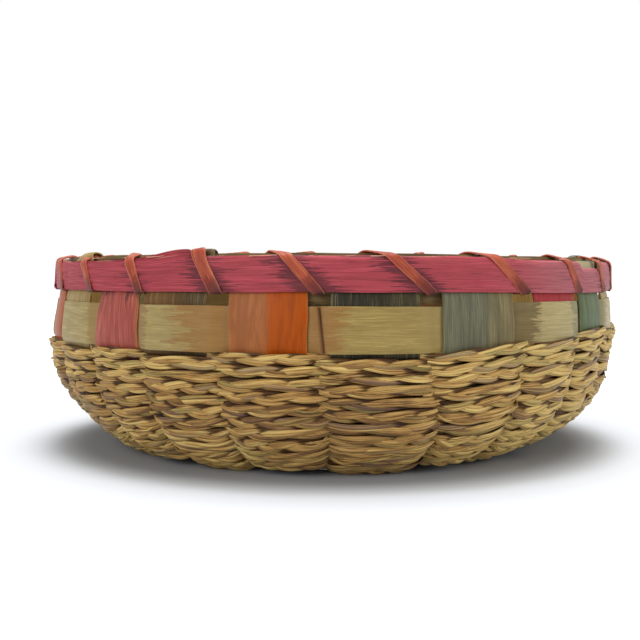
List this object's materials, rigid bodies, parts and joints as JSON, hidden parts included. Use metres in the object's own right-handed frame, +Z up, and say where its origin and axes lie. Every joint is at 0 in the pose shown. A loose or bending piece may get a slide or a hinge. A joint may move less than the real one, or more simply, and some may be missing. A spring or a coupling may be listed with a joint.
{
  "type": "woven basket bowl",
  "caption": "Low round bowl woven from dyed ash splints and braided sweetgrass, with a lashed hoop rim, for holding small things.",
  "frame": {"origin": "on the ground in the middle of the bowl", "axes": "+Z up along the bowl's axis, -Y towards the side that the picture shows, +X to its right"},
  "size_m": [0.2218, 0.2223, 0.0757],
  "materials": {
    "ash_orange": "orange dyed ash splint, satin, fine vertical grain",
    "ash_natural": "undyed ash splint, satin, fine grain",
    "ash_rose": "rose red dyed ash splint, satin",
    "ash_olive": "olive brown dyed ash splint, satin",
    "ash_black_green": "black green dyed ash splint, satin",
    "ash_grey_green": "grey green dyed ash splint, satin",
    "ash_red": "bright red dyed ash splint, satin",
    "ash_blue_green": "blue green dyed ash splint, satin",
    "ash_brown": "brown dyed ash splint, satin",
    "ash_base": "undyed ash weaver, matte",
    "ash_band": "undyed ash splint stained yellow tan, satin",
    "hoop_red": "raspberry red dyed ash lath, fibrous",
    "hoop_inner": "undyed ash lath, matte",
    "lashing": "orange red dyed narrow splint, satin",
    "sweetgrass": "dried sweetgrass braid, straw to ochre, slight sheen"
  },
  "bodies": {
    "root": {"long_splint_01": "ash_orange", "long_splint_02": "ash_natural", "long_splint_03": "ash_rose", "long_splint_04": "ash_olive", "long_splint_05": "ash_orange", "long_splint_06": "ash_black_green", "long_splint_07": "ash_grey_green", "long_splint_08": "ash_red", "long_splint_09": "ash_blue_green", "long_splint_10": "ash_natural", "long_splint_11": "ash_brown", "long_splint_12": "ash_grey_green", "base_weaver_1": "ash_base", "base_weaver_2": "ash_base", "base_weaver_3": "ash_base", "base_weaver_4": "ash_base", "base_weaver_5": "ash_base", "sweetgrass_row_01": "sweetgrass", "sweetgrass_row_02": "sweetgrass", "sweetgrass_row_03": "sweetgrass", "sweetgrass_row_04": "sweetgrass", "sweetgrass_row_05": "sweetgrass", "sweetgrass_row_06": "sweetgrass", "sweetgrass_row_07": "sweetgrass", "sweetgrass_row_08": "sweetgrass", "sweetgrass_row_09": "sweetgrass", "sweetgrass_row_10": "sweetgrass", "sweetgrass_row_11": "sweetgrass", "sweetgrass_row_12": "sweetgrass", "sweetgrass_row_13": "sweetgrass", "sweetgrass_row_14": "sweetgrass", "sweetgrass_row_15": "sweetgrass", "sweetgrass_row_16": "sweetgrass", "sweetgrass_row_17": "sweetgrass", "sweetgrass_row_18": "sweetgrass", "sweetgrass_row_19": "sweetgrass", "sweetgrass_row_20": "sweetgrass", "band_weaver": "ash_band", "outer_hoop": "hoop_red", "inner_hoop": "hoop_inner", "rim_lashing": "lashing"}
  },
  "joints": []
}
